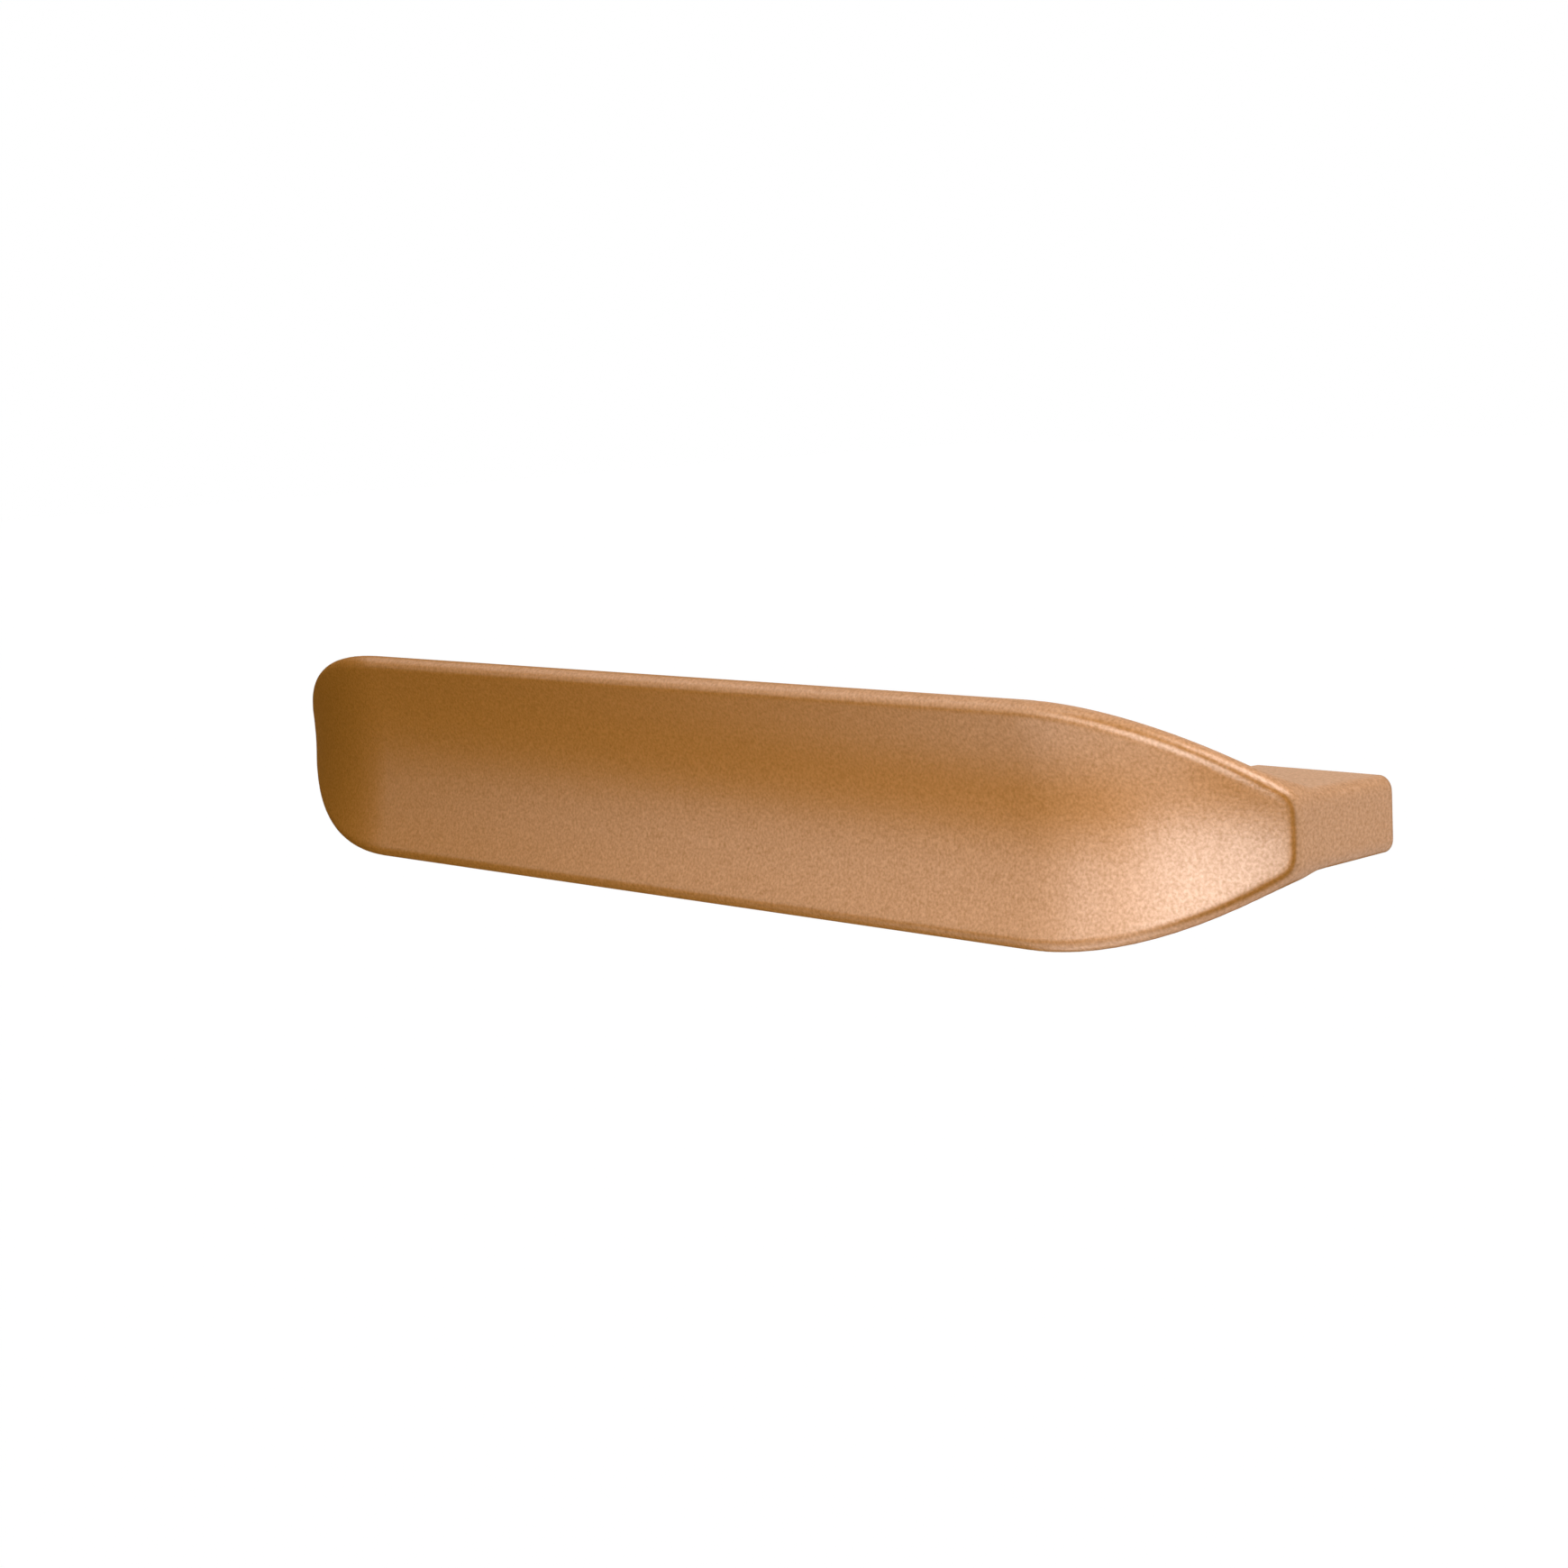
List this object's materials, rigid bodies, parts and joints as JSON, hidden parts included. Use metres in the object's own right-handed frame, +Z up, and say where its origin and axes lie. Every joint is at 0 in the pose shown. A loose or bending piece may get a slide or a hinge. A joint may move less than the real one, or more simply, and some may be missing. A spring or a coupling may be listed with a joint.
{
  "type": "d pull handle",
  "caption": "Cabinet pull handle: dished front plate whose tapered ends bend back to two legs, fixed by screws through the door.",
  "frame": {"origin": "on the door's face, midway between the two screw holes", "axes": "+X along the handle, +Y from the handle into the door, +Z up"},
  "size_m": [0.18, 0.0268, 0.0274],
  "materials": {
    "coating": "satin metallic copper-gold coating on a zinc casting"
  },
  "bodies": {
    "root": {"pull_handle": "coating"}
  },
  "joints": []
}
